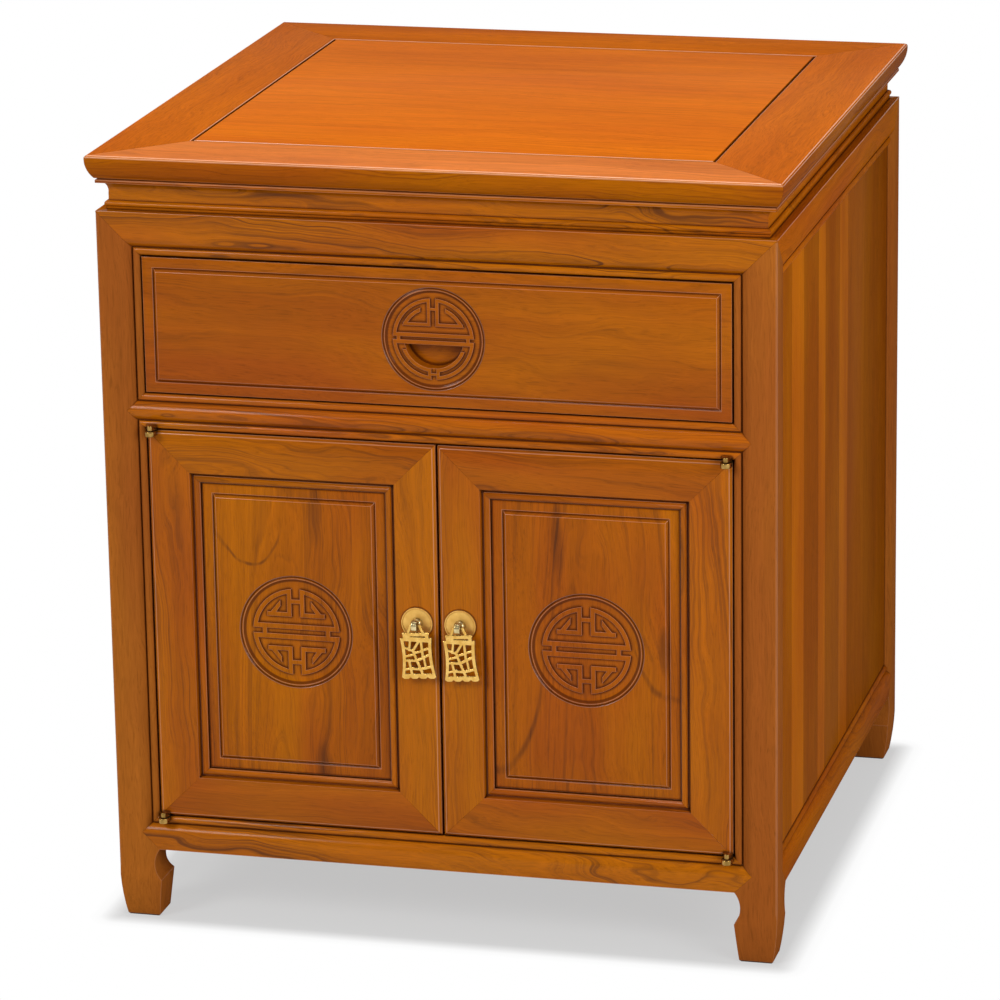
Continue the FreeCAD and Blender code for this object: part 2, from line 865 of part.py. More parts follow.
def make_hinges():
    """Pivot hinges at the outer corners of both doors: rail leaf with its pin, and door leaf."""
    rail_leaves = []
    for name, across in (("left", -1), ("right", 1)):
        door_leaves = []
        for edge, up in ((mid_rail_low, 1), (bottom_rail_top, -1)):
            split = edge - up * door_gap / 2
            door_edge = edge - up * door_gap

            def level(first, second):
                return min(first, second), max(first, second)

            low, high = level(split + up * knuckle_gap / 2, split + up * knuckle_height)
            nose = knuckle(across, low, high)
            pin = pivot(across, split - knuckle_height, split + knuckle_height, pin_radius)
            arm = leaf(across, *level(edge, edge + up * leaf_thickness))
            rail_leaves.append(joined([nose, pin, arm]))
            low, high = level(split - up * knuckle_gap / 2, split - up * knuckle_height)
            nose = knuckle(across, low, high)
            bore = pivot(across, low - overrun, high + overrun, pin_radius + pin_clearance)
            arm = leaf(across, *level(door_edge, door_edge - up * leaf_thickness))
            door_leaves.append(joined([nose, arm]).cut(bore))
        parts["hinge_door_leaves_" + name] = Part.makeCompound(door_leaves)
        stile = "door_%s_hinge_stile" % name
        seat([stile, "door_%s_top_rail" % name, "door_%s_bottom_rail" % name],
             ["hinge_door_leaves_" + name])
    parts["hinge_rail_leaves"] = Part.makeCompound(rail_leaves)
    seat(["middle_rail", "bottom_rail_front"], ["hinge_rail_leaves"])


# Cracked-ice bars of the pendant: ends as shares of half its width and of its lattice height
ice_bar_shares = [
    ((-1.0, 0.80), (-0.25, 0.68)),
    ((-0.25, 0.68), (0.30, 1.0)),
    ((-0.25, 0.68), (-0.05, 0.42)),
    ((-0.05, 0.42), (1.0, 0.62)),
    ((0.35, 0.50), (0.30, 1.0)),
    ((-1.0, 0.44), (-0.05, 0.42)),
    ((-0.55, 0.43), (-0.40, 0.0)),
    ((-0.05, 0.42), (0.15, 0.20)),
    ((0.15, 0.20), (1.0, 0.28)),
    ((-0.48, 0.22), (0.15, 0.20)),
    ((0.15, 0.20), (0.30, 0.0)),
]


def pendant_outline(place, inset, near, far):
    """The pendant's plate: stepped head, hollow sides and a scalloped foot."""
    head = -bail_drop + pendant_head_height
    shoulder = head - pendant_head_height
    foot = head - pendant_height
    half_head = pendant_head_half - inset
    half_shoulder = pendant_shoulder_half - inset
    half_foot = pendant_foot_half - inset
    path = [
        (-half_head, head - inset),
        (half_head, head - inset),
        (half_head, shoulder),
        (half_shoulder, shoulder - inset),
        (half_foot, foot + inset, -pendant_side_bow_share),
    ]
    if not inset:
        pitch = 2 * half_foot / scallop_count
        flat = pitch * scallop_flat_share
        for index in range(scallop_count):
            middle_of = half_foot - pitch * (index + half_bow_share)
            path.append((middle_of + flat / 2, foot - scallop_drop))
            path.append((middle_of - flat / 2, foot - scallop_drop))
            path.append((middle_of - pitch / 2, foot))
    else:
        path.append((-half_foot, foot + inset))
    path.append((-half_shoulder, shoulder - inset, -pendant_side_bow_share))
    path.append((-half_head, shoulder))
    return prism(place, path, near, far)


def make_pendant(place):
    """The pierced pendant and the wire bail that hangs it in the eye."""
    near = -pendant_thickness / 2
    far = pendant_thickness / 2
    plate = pendant_outline(place, 0, near, far)
    window = pendant_outline(place, pendant_border, near - overrun, far + overrun)
    lattice_top = -bail_drop
    lattice_foot = -bail_drop + pendant_head_height - pendant_height
    height = lattice_top - lattice_foot
    bars = []
    for (a0, b0), (a1, b1) in ice_bar_shares:
        x0 = a0 * pendant_shoulder_half
        x1 = a1 * pendant_shoulder_half
        z0 = lattice_foot + b0 * height
        z1 = lattice_foot + b1 * height
        length = math.hypot(x1 - x0, z1 - z0)
        off_x = (z1 - z0) / length * pendant_bar / 2
        off_z = (x0 - x1) / length * pendant_bar / 2
        path = [(x0 - off_x, z0 - off_z), (x1 - off_x, z1 - off_z), (x1 + off_x, z1 + off_z),
                (x0 + off_x, z0 + off_z)]
        bars.append(prism(place, path, near, far))
    head_bar = block(place, (-pendant_shoulder_half, lattice_top - pendant_bar),
                     (pendant_shoulder_half, lattice_top), near, far)
    holes = cut_all(window, bars + [head_bar])
    foot_level = -bail_drop + pendant_head_height - bail_half
    bail_outline = [
        (-bail_top_half, bail_half),
        (bail_top_half, bail_half),
        (bail_foot_half, foot_level),
        (bail_foot_half - bail_strip_width, foot_level),
        (bail_top_half - bail_strip_width, -bail_half),
        (bail_strip_width - bail_top_half, -bail_half),
        (bail_strip_width - bail_foot_half, foot_level),
        (-bail_foot_half, foot_level),
    ]
    bail = prism(place, bail_outline, -bail_half, bail_half)
    return joined([plate.cut(holes), bail])


def make_eye(place, depth):
    """The pull's eye: a round-nosed loop on a split pin with its ends bent behind the door."""
    start = place(-eye_half_width, 0, depth)
    across = place(eye_half_width, 0, depth) - start
    plan = [
        (0, -eye_radius),
        (0, eye_radius, half_bow_share),
        (eye_neck_reach, eye_neck_half),
        (eye_neck_reach, -eye_neck_half),
    ]
    loop = prism(lambda u, b, t: place(t, b, depth + u), plan, -eye_half_width, eye_half_width)
    behind = door_recess + door_thickness
    shank_start = depth + (eye_radius + eye_hole_radius) / 2
    shank = block(place, (-shank_half, -shank_half), (shank_half, shank_half),
                  shank_start, behind + split_thickness)
    ends = block(place, (-split_reach, -shank_half), (split_reach, shank_half),
                 behind, behind + split_thickness)
    hole = Part.makeCylinder(eye_hole_radius, across.Length, start, across)
    return joined([loop, shank, ends]).cut(hole)


def make_pulls():
    """Round back plates, eyes with their shanks through the stile, and hanging pendants."""
    tilt = math.radians(pendant_tilt_degrees)
    for name, across in (("left", -1), ("right", 1)):
        x = across * pull_setback

        def at(a, b, t, x=x):
            return front_face(x + a, pull_height + b, t)

        plate_front = door_recess - plate_thickness
        eye_depth = plate_front - eye_standoff
        parts["pull_plate_" + name] = disc(at, (0, 0), plate_radius, plate_front, door_recess)
        parts["pull_eye_" + name] = make_eye(at, eye_depth)
        seat(["pull_plate_" + name, "door_%s_meeting_stile" % name], ["pull_eye_" + name])

        def leaning(a, b, t, x=x):
            turned_a = a * math.cos(tilt) - b * math.sin(tilt)
            turned_b = a * math.sin(tilt) + b * math.cos(tilt)
            return at(turned_a, turned_b, eye_depth + t)

        parts["pull_pendant_" + name] = make_pendant(leaning)


def make_catch():
    """A magnetic catch under the middle rail, and a strike on the back of each door."""
    door_back = door_recess + door_thickness
    near = door_back + strike_thickness + catch_clearance
    parts["door_catch"] = block(
        front_face, (-catch_half_width, mid_rail_low - catch_height),
        (catch_half_width, mid_rail_low), near, near + catch_length)
    level = mid_rail_low - catch_height / 2 - strike_height / 2 - door_gap
    for name, across in (("left", -1), ("right", 1)):
        def at(a, b, t, across=across):
            return front_face(across * a, b, t)
        low = (meeting_gap / 2 + strike_setback, level)
        high = (low[0] + strike_width, level + strike_height)
        parts["door_strike_" + name] = block(at, low, high, door_back,
                                             door_back + strike_thickness)


def main():
    make_case()
    make_panels()
    seat_case()
    make_top()
    make_waist()
    make_drawer()
    make_runners()
    make_door("left", -1)
    make_door("right", 1)
    make_hinges()
    make_pulls()
    make_catch()
    os.makedirs("parts", exist_ok=True)
    for name, shape in parts.items():
        shape.exportStep("parts/%s.step" % name)


main()
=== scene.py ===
import json
import math

import bpy
from mathutils import Matrix, Vector
from mathutils.bvhtree import BVHTree

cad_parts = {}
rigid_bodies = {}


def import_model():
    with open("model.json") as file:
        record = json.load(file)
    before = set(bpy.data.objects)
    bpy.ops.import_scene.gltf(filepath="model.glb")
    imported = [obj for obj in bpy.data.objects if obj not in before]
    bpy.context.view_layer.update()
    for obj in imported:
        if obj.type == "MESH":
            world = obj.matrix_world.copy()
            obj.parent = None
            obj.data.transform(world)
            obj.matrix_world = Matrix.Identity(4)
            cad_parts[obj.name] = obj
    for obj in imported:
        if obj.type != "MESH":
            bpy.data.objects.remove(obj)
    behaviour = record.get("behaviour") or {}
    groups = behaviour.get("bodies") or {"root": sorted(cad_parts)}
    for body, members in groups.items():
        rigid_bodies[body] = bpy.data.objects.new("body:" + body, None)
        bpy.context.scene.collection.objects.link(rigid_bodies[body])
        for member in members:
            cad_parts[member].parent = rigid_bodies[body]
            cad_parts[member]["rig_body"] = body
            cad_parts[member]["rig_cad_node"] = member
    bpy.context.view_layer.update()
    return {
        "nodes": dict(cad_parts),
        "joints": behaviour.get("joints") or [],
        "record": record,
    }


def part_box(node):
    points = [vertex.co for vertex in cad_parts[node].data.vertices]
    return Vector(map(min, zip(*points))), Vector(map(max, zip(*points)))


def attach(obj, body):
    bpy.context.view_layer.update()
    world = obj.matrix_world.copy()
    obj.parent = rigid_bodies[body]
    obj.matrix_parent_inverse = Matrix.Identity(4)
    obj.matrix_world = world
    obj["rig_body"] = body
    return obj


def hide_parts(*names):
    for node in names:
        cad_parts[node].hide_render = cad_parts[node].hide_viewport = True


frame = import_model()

nodes = frame["nodes"]
joints = {joint["name"]: joint for joint in frame["joints"]}
bodies = frame["record"]["behaviour"]["bodies"]
body_of = {node: body for body, held in bodies.items() for node in held}
slot_of = {entry["node"]: entry["material_slot"] for entry in frame["record"]["subparts"]}

mm = 0.001

# Planes of the case that the finishes and the new pieces are set out from
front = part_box("bottom_rail_front")[0][1]
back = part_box("bottom_rail_back")[1][1]
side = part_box("bottom_rail_right")[1][0]
top_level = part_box("top_panel")[1][2]

# How edges are eased, as shares of a board's own radius, and where the special ones lie
sharp_angle = math.radians(34)
joint_ease = 0.45
corner_ease = 3.6
quirk_ease = 3.0
corner_band = 6 * mm
quirk_depth = 1.5 * mm

# The door frame's moulding, in from the frame's outer edge, and the levels of its bead
shoulder = (29.4 * mm, 36.45 * mm)
shoulder_share = 0.22
bead = (37.75 * mm, 42.95 * mm)
bead_swell = 1.15
lip_level = -270.46 * mm
dip_level = -268.8 * mm

# The pivots' caps: their heights, their reach from the pin and how far they are narrowed
upper_caps = (429.7 * mm, math.inf)
lower_caps = (92.3 * mm, 96.8 * mm)
cap_reach = 4.6 * mm
cap_share = 0.52

# Colours of the rosewood's marks: its red heart, the painted shade in quirks (partly stain) and
# in deep recesses, and its pale arrises (partly wear, partly a painted highlight)
red_heart = (0.30, 0.040, 0.010, 1)
quirk_stain_and_shade = (0.075, 0.013, 0.002, 1)
deep_shade = (0.055, 0.018, 0.005, 1)
worn_and_highlight_pale = (0.80, 0.42, 0.24, 1)


class Value:
    """A number, colour or vector that comes out of a node, for use in expressions."""

    def __init__(self, finish, socket):
        self.finish = finish
        self.socket = socket

    def _math(self, operation, first, second):
        return self.finish.node("ShaderNodeMath", {"operation": operation},
                                {0: first, 1: second})

    def __add__(self, other):
        return self._math("ADD", self, other)

    __radd__ = __add__

    def __mul__(self, other):
        return self._math("MULTIPLY", self, other)

    __rmul__ = __mul__

    def __sub__(self, other):
        return self._math("SUBTRACT", self, other)

    def __rsub__(self, other):
        return self._math("SUBTRACT", other, self)

    def __pow__(self, other):
        return self._math("POWER", self, other)


class Finish:
    """A material on one Principled shader. What varies is fed in with out()."""

    def __init__(self, name, **constants):
        self.material = bpy.data.materials.new(name)
        self.material.use_nodes = True
        self.tree = self.material.node_tree
        self.shader = self.tree.nodes["Principled BSDF"]
        for socket, value in constants.items():
            self.shader.inputs[socket.replace("_", " ")].default_value = value

    def node(self, kind, settings=None, inputs=None, output=0):
        made = self.tree.nodes.new(kind)
        for name, value in (settings or {}).items():
            if name == "stops":
                self.set_stops(made.color_ramp, value)
            elif name == "steps":
                made.color_ramp.interpolation = value
            else:
                setattr(made, name, value)
        for name, value in (inputs or {}).items():
            self.feed(made.inputs[name], value)
        return Value(self, made.outputs[output])

    def set_stops(self, ramp, stops):
        while len(ramp.elements) < len(stops):
            ramp.elements.new(0.5)
        for element, (place, shade) in zip(ramp.elements, stops):
            element.position = place
            element.color = (shade, shade, shade, 1)

    def feed(self, socket, value):
        if isinstance(value, Value):
            self.tree.links.new(value.socket, socket)
        else:
            socket.default_value = value

    def out(self, socket, value):
        self.feed(self.shader.inputs[socket], value)

    def ramp(self, value, *stops):
        return self.node("ShaderNodeValToRGB", {"stops": stops}, {"Fac": value})

    def vector(self, x, y, z):
        return self.node("ShaderNodeCombineXYZ", None, {0: x, 1: y, 2: z})

    def split(self, vector):
        return [self.node("ShaderNodeSeparateXYZ", None, {0: vector}, index)
                for index in range(3)]

    def attribute(self, name, output=1):
        return self.node("ShaderNodeAttribute", {"attribute_name": name}, None, output)

    def noise(self, vector, scale, detail=2.0, rough=0.5):
        return self.node("ShaderNodeTexNoise", None, {
            "Vector": vector, "Scale": scale, "Detail": detail, "Roughness": rough})

    def mix(self, share, first, second):
        return self.node("ShaderNodeMix", {"data_type": "RGBA"}, {
            "Factor": share, 6: first, 7: second}, 2)

    def scaled(self, colour, level):
        return self.node("ShaderNodeVectorMath", {"operation": "SCALE"},
                         {0: colour, "Scale": level})

    def crevice(self, reach, full=0.45, none=0.86):
        """Rises from 0 on open faces to 1 deep in quirks, gaps and carved ground."""
        open_share = self.node("ShaderNodeAmbientOcclusion", {"samples": 8},
                               {"Distance": reach}, 1)
        return self.ramp(open_share, (0.0, 1.0), (full, 1.0), (none, 0.0), (1.0, 0.0))

    def bump(self, height, strength, distance):
        self.out("Normal", self.node("ShaderNodeBump", None, {
            "Height": height, "Strength": strength, "Distance": distance}))


def blot_share(wood, blot, spot, curl, fade, broad):
    """How dark a ragged dark patch is at a point of the board."""
    blot_along, blot_across, half_length, half_width = blot
    far_along = (spot[0] - blot_along) * (1 / half_length)
    far_across = (spot[1] + curl * 0.010 - blot_across) * (1 / half_width)
    far = far_along * far_along + far_across * far_across
    return wood.ramp(far * 0.7 + (fade - 0.5) * 0.9 + broad * 0.8,
                     (0.0, 0.5), (0.3, 0.4), (0.8, 0.0), (1.0, 0.0))


def loop_share(wood, loop, spot, curl, fade, broad):
    """How dark a thin, broken line round the lower half of an oval is at a point."""
    loop_along, loop_across, half_length, half_width = loop
    far_along = (spot[0] + curl * 0.030 - loop_along) * (1 / half_length)
    far_across = (spot[1] + curl * 0.012 - loop_across) * (1 / half_width)
    far = (far_along * far_along + far_across * far_across) ** 0.5
    line = wood.ramp((far - 1.0) * (far - 1.0) * 420.0 + (fade - 0.5) * 0.8,
                     (0.0, 1.0), (0.5, 0.35), (1.0, 0.0))
    below = wood.ramp(far_along * -0.5 + 0.5, (0.0, 0.0), (0.45, 0.0), (0.75, 1.0), (1.0, 1.0))
    broken = wood.ramp(broad + 0.5, (0.0, 0.1), (0.45, 0.25), (0.60, 0.60), (1.0, 0.60))
    return line * below * broken


def stripe_tone(wood, stripes, across):
    """The tone of the glued-up board that a point lies in, about 0."""
    first, last = stripes[0][0], stripes[-1][0]
    place = wood.node("ShaderNodeMapRange", None, {"Value": across, 1: first, 2: last})
    stops = [((start - first) / (last - first), shade) for start, shade in stripes[:-1]]
    return wood.node("ShaderNodeValToRGB", {"stops": stops, "steps": "CONSTANT"},
                     {"Fac": place}) - 0.5


def rosewood(name, pale, mid, vein, coat=0.25, blots=(), loops=(), stripes=(), edge=None,
             rounds=(), worn=0.26):
    """Varnished rosewood. Figure and fibres follow each board's own grain attribute.

    blots are dark patches: where along and across the board, and their half length and width.
    loops are thin dark lines of the same four sizes. rounds are the quirks of a roundel,
    darkened partly as stain and partly as painted shade: their radius and half width. worn is
    how far the arrises are painted pale, partly as edge wear and partly as a painted highlight.
    stripes are the tones of glued-up boards across the grain, from place to place.
    edge is the pair of colours of the faces that don't face up: painted shade beside the level
    faces, which are painted as lit from above.
    """
    wood = Finish(name, Specular_IOR_Level=0.0, Coat_IOR=1.45, Coat_Roughness=0.17)
    along, across, deep = wood.split(wood.attribute("grain"))
    tone, figure, red = wood.split(wood.attribute("board"))
    at_along, at_across, at_deep = wood.split(wood.attribute("spot"))
    arris = wood.attribute("arris", 2)
    warp = wood.noise(wood.vector(along * 1.9, across * 9.0, deep * 9.0), 1.0, 2.0) - 0.5
    curl = wood.noise(wood.vector(along * 11.0, across * 30.0, deep * 30.0), 1.0, 2.0) - 0.5
    shift = warp * 0.050 + curl * 0.014
    near = across + shift
    low = deep + shift
    pith = (near * near + low * low) ** 0.5
    growth = wood.noise(wood.vector(along * 1.5, pith * 400.0, 0.0), 1.0, 4.0, 0.66)
    rings = wood.noise(wood.vector(along * 2.5, pith * 900.0, 4.0), 1.0, 2.0) - 0.5

    def streaks(length, width, detail=2.0, rough=0.5):
        """Noise bent with the grain, in waves per metre along the board and across it."""
        return wood.noise(wood.vector(along * length, near * width, low * width), 1.0, detail,
                          rough)

    fade = streaks(5.0, 34.0)
    veins = (wood.ramp(growth, (0.0, 0.0), (0.49, 0.0), (0.62, 1.0), (1.0, 1.0))
             * wood.ramp(fade, (0.0, 0.0), (0.36, 0.05), (0.56, 1.0), (1.0, 1.0)))
    broad = streaks(2.6, 85.0) - 0.5
    fibre = streaks(24.0, 720.0, 3.0, 0.62)
    fleck = wood.ramp(streaks(55.0, 1300.0, 1.0), (0.0, 0.0), (0.56, 0.0), (0.68, 1.0),
                      (1.0, 1.0))
    patch = wood.ramp(streaks(3.6, 15.0), (0.0, 0.0), (0.36, 0.0), (0.64, 1.0), (1.0, 1.0))
    base = wood.mix(patch, pale, mid)
    vein_share = 0.9
    # Faces that don't face up take the edge colours, so the level faces read as lit from above:
    # painted light and shade.
    if edge:
        level_share = wood.split(wood.node("ShaderNodeNewGeometry", None, None, 3))[2]
        lit_from_above = wood.ramp(level_share, (0.0, 0.0), (0.6, 0.0), (0.85, 1.0), (1.0, 1.0))
        base = wood.mix(lit_from_above, wood.mix(patch, edge[0], edge[1]), base)
        vein_share = 2.9 - lit_from_above * 2.0
    base = wood.mix(red, base, red_heart)
    level = (tone * 0.5 + broad * (figure * 0.6 + 0.18) + (fibre - 0.5) * 0.46
             + rings * (figure * 0.45 + 0.10) - fleck * 0.17 + 1.0)
    if stripes:
        level = level + stripe_tone(wood, stripes, across)
    toned = wood.scaled(base, level)
    dark = veins * figure * vein_share
    for blot in blots:
        dark = dark + blot_share(wood, blot, (at_along, at_across), curl, fade, broad)
    for loop in loops:
        dark = dark + loop_share(wood, loop, (at_along, at_across), curl, fade, broad)
    veined = wood.mix(wood.ramp(dark, (0.0, 0.0), (1.0, 1.0)), toned, vein)
    # Quirks, gaps and carved ground are darkened by ambient occlusion: painted shade, partly
    # standing for stain settled there. A roundel's quirks get painted dark rings as well.
    hollow = wood.crevice(2.6 * mm, 0.80, 0.97) if rounds else wood.crevice(1.9 * mm, 0.62, 0.94)
    if rounds:
        out_from = (at_along * at_along + at_across * at_across) ** 0.5
        carved_side = wood.ramp(at_deep * -2000.0 + 0.5, (0.0, 0.0), (1.0, 1.0))
        for radius, half_width in rounds:
            off = (out_from - radius) * (1 / half_width)
            hollow = hollow + carved_side * wood.ramp(off * off, (0.0, 1.0), (0.40, 0.8),
                                                      (1.0, 0.0))
        hollow = wood.ramp(hollow, (0.0, 0.0), (1.0, 1.0))
    # Deep recesses, such as the drawer's pocket, are painted darker still as shade.
    deep_shade_share = wood.crevice(14 * mm, 0.16, 0.40)
    stained_and_shaded = wood.mix(hollow * 0.80, veined, quirk_stain_and_shade)
    stained_and_shaded = wood.mix(deep_shade_share * 0.70, stained_and_shaded, deep_shade)
    # Arrises are painted pale, partly as edge wear and partly as a painted highlight.
    wood.out("Base Color", wood.mix(arris * worn, stained_and_shaded, worn_and_highlight_pale))
    wood.out("Roughness", fibre * 0.2 + veins * 0.1 + 0.35)
    wood.out("Coat Weight", arris * 0.5 + (1.2 - fibre * 0.4) * coat)
    wood.bump(fibre * 0.6 - fleck * 0.5 - veins * 0.3, 0.16, 0.0002)
    return wood.material


def plain_wood(name, pale, mid):
    """Lightly sealed inner wood with a straight, quiet grain."""
    wood = Finish(name, Specular_IOR_Level=0.25)
    along, across, deep = wood.split(wood.attribute("grain"))
    fibre = wood.noise(wood.vector(along * 9.0, across * 420.0, deep * 420.0), 1.0, 3.0, 0.6)
    cloud = wood.noise(wood.vector(along * 2.0, across * 30.0, deep * 30.0), 1.0, 3.0)
    wood.out("Base Color", wood.mix(fibre * 0.55 + cloud * 0.45, pale, mid))
    wood.out("Roughness", fibre * 0.2 + 0.5)
    wood.bump(fibre, 0.2, 0.0003)
    return wood.material


def aged_brass(name, pale, brown, rough):
    """Cast brass, polished on the high places and browner in the low ones, with its sideways
    faces painted darker as shade.
    """
    brass = Finish(name)
    place = brass.node("ShaderNodeTexCoord", None, None, 3)
    broad = brass.noise(place, 170.0, 3.0)
    fine = brass.noise(place, 1600.0, 2.0)
    # Faces that turn sideways are painted darker as shade; the hollows are browner with patina.
    flank = brass.ramp(brass.attribute("flank", 2), (0.0, 0.0), (0.12, 0.0), (0.60, 1.0))
    hollow = brass.ramp(brass.crevice(2.5 * mm) + flank * 0.75, (0.0, 0.0), (1.0, 1.0))
    worn = brass.mix(brass.ramp(broad, (0.35, 0.0), (0.72, 1.0)), pale, brown)
    brass.out("Base Color", brass.mix(hollow * 0.80, worn, (0.10, 0.055, 0.015, 1)))
    brass.out("Metallic", 0.96 - hollow * 0.2)
    brass.out("Roughness", broad * 0.16 + fine * 0.12 + rough)
    brass.bump(fine * 0.5 + broad, 0.22, 0.0003)
    return brass.material


def plain_steel(name):
    steel = Finish(name, Metallic=1.0)
    place = steel.node("ShaderNodeTexCoord", None, None, 3)
    brush = steel.noise(place, 900.0, 2.0)
    steel.out("Base Color", steel.mix(brush, (0.62, 0.62, 0.62, 1), (0.5, 0.5, 0.5, 1)))
    steel.out("Roughness", brush * 0.2 + 0.3)
    return steel.material


def brown_plastic(name):
    plastic = Finish(name)
    place = plastic.node("ShaderNodeTexCoord", None, None, 3)
    grit = plastic.noise(place, 1200.0, 2.0)
    plastic.out("Base Color", plastic.mix(grit, (0.030, 0.016, 0.009, 1),
                                          (0.045, 0.024, 0.014, 1)))
    plastic.out("Roughness", grit * 0.15 + 0.45)
    plastic.bump(grit, 0.15, 0.0002)
    return plastic.material


case_pale = (0.410, 0.114, 0.0015, 1)
case_mid = (0.335, 0.073, 0.0035, 1)
case_vein = (0.085, 0.024, 0.006, 1)
# The top's colours are paler than the case's, partly its own tone and partly painted light from
# above.
top_pale = (0.56, 0.130, 0.0040, 1)
top_mid = (0.49, 0.106, 0.0045, 1)
top_vein = (0.16, 0.030, 0.004, 1)
side_stripes = [(-0.242, 0.46), (-0.195, 0.82), (-0.145, 0.42), (-0.08, 0.78), (-0.05, 0.40),
                (0.015, 0.74), (0.052, 0.44), (0.13, 0.32), (0.242, 0.32)]
finishes = {
    "rosewood": rosewood("case_rosewood", case_pale, case_mid, case_vein),
    "rosewood_top": rosewood("top_rosewood", top_pale, top_mid, top_vein, 0.05,
                             edge=(case_pale, case_mid), worn=0.5),
    "rosewood_side_boards": rosewood("side_rosewood", (0.38, 0.105, 0.0030, 1),
                                     (0.31, 0.074, 0.0035, 1), (0.080, 0.022, 0.003, 1), 0.02,
                                     stripes=side_stripes),
    "inner_wood": plain_wood("inner_wood", (0.52, 0.215, 0.045, 1), (0.29, 0.10, 0.017, 1)),
    "brass": aged_brass("pull_brass", (0.90, 0.57, 0.16, 1), (0.72, 0.39, 0.07, 1), 0.14),
    "steel": plain_steel("strike_steel"),
    "catch_plastic": brown_plastic("catch_plastic"),
}
plate_brass = aged_brass("plate_brass", (0.92, 0.56, 0.15, 1), (0.80, 0.45, 0.10, 1), 0.34)
eye_brass = aged_brass("eye_brass", (0.80, 0.66, 0.36, 1), (0.44, 0.32, 0.11, 1), 0.08)
hinge_brass = aged_brass("hinge_brass", (0.50, 0.30, 0.085, 1), (0.20, 0.11, 0.02, 1), 0.06)
quiet_wood = rosewood("side_frame_rosewood", case_pale, case_mid, case_vein, 0.02)
post_wood = rosewood("post_rosewood", (0.370, 0.112, 0.014, 1), (0.310, 0.084, 0.013, 1),
                     case_vein, 0.01)
# The top's front member has a paler, greyer colour than the rest of the top: a painted sheen
# over its own colour.
top_front_sheen_wood = rosewood("top_front_rosewood", (0.62, 0.168, 0.026, 1),
                          (0.56, 0.144, 0.022, 1), top_vein, 0.06,
                          edge=(case_pale, case_mid), worn=0.6)
# The roundels' quirks, painted as dark rings of stain and shade: their radius and half width
door_quirks = [(47.9 * mm, 1.2 * mm), (44.5 * mm, 1.5 * mm)]
left_panel_wood = rosewood("left_panel_rosewood", case_pale, case_mid, case_vein, 0.2,
                           [(0.118, 0.018, 0.050, 0.0060), (-0.122, 0.022, 0.032, 0.0085)],
                           [(0.098, -0.040, 0.040, 0.030)], rounds=door_quirks)
right_panel_wood = rosewood("right_panel_rosewood", case_pale, case_mid, case_vein, 0.2,
                            [(0.090, -0.024, 0.040, 0.0055), (0.004, 0.064, 0.022, 0.006)],
                            [(0.000, -0.080, 0.110, 0.044), (0.020, 0.074, 0.060, 0.034)],
                            rounds=door_quirks)
drawer_wood = rosewood("drawer_rosewood", case_pale, case_mid, case_vein, 0.2,
                       rounds=[(42.5 * mm, 1.2 * mm), (39.4 * mm, 1.4 * mm)])


def surfaces_of_all():
    """Every solid's surface in one tree, with the node that owns each triangle."""
    spots, triangles, owners = [], [], []
    for node, item in nodes.items():
        base = len(spots)
        spots += [vertex.co.copy() for vertex in item.data.vertices]
        for face in item.data.polygons:
            triangles.append([base + index for index in face.vertices])
            owners.append(node)
    return BVHTree.FromPolygons(spots, triangles), owners


surfaces, owners = surfaces_of_all()


def only(piece):
    """Selects one piece and nothing else."""
    bpy.ops.object.select_all(action="DESELECT")
    piece.select_set(True)
    bpy.context.view_layer.objects.active = piece


def smoothed(piece, degrees=32):
    only(piece)
    bpy.ops.object.shade_smooth_by_angle(angle=math.radians(degrees))


def worked_copy(node, name, whole_faces=True):
    """A copy of a solid with its points merged and, if asked, its flat faces laid out anew."""
    piece = nodes[node].copy()
    piece.data = nodes[node].data.copy()
    piece.name = name
    piece.parent = None
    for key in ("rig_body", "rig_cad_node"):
        if key in piece:
            del piece[key]
    bpy.context.scene.collection.objects.link(piece)
    only(piece)
    if piece.data.has_custom_normals:
        bpy.ops.mesh.customdata_custom_splitnormals_clear()
    bpy.ops.object.mode_set(mode="EDIT")
    bpy.ops.mesh.select_all(action="SELECT")
    bpy.ops.mesh.remove_doubles(threshold=0.000002)
    if whole_faces:
        bpy.ops.mesh.dissolve_limited(angle_limit=math.radians(0.6))
        bpy.ops.mesh.quads_convert_to_tris(quad_method="BEAUTY", ngon_method="BEAUTY")
    bpy.ops.object.mode_set(mode="OBJECT")
    return piece


def is_joint(spot, node, reach=0.15 * mm):
    """True where another piece touches this one, so that the edge is eased less there and isn't
    painted pale as wear and highlight.
    """
    near = surfaces.find_nearest_range(spot, reach)
    return any(owners[index] != node for _, _, index, _ in near)


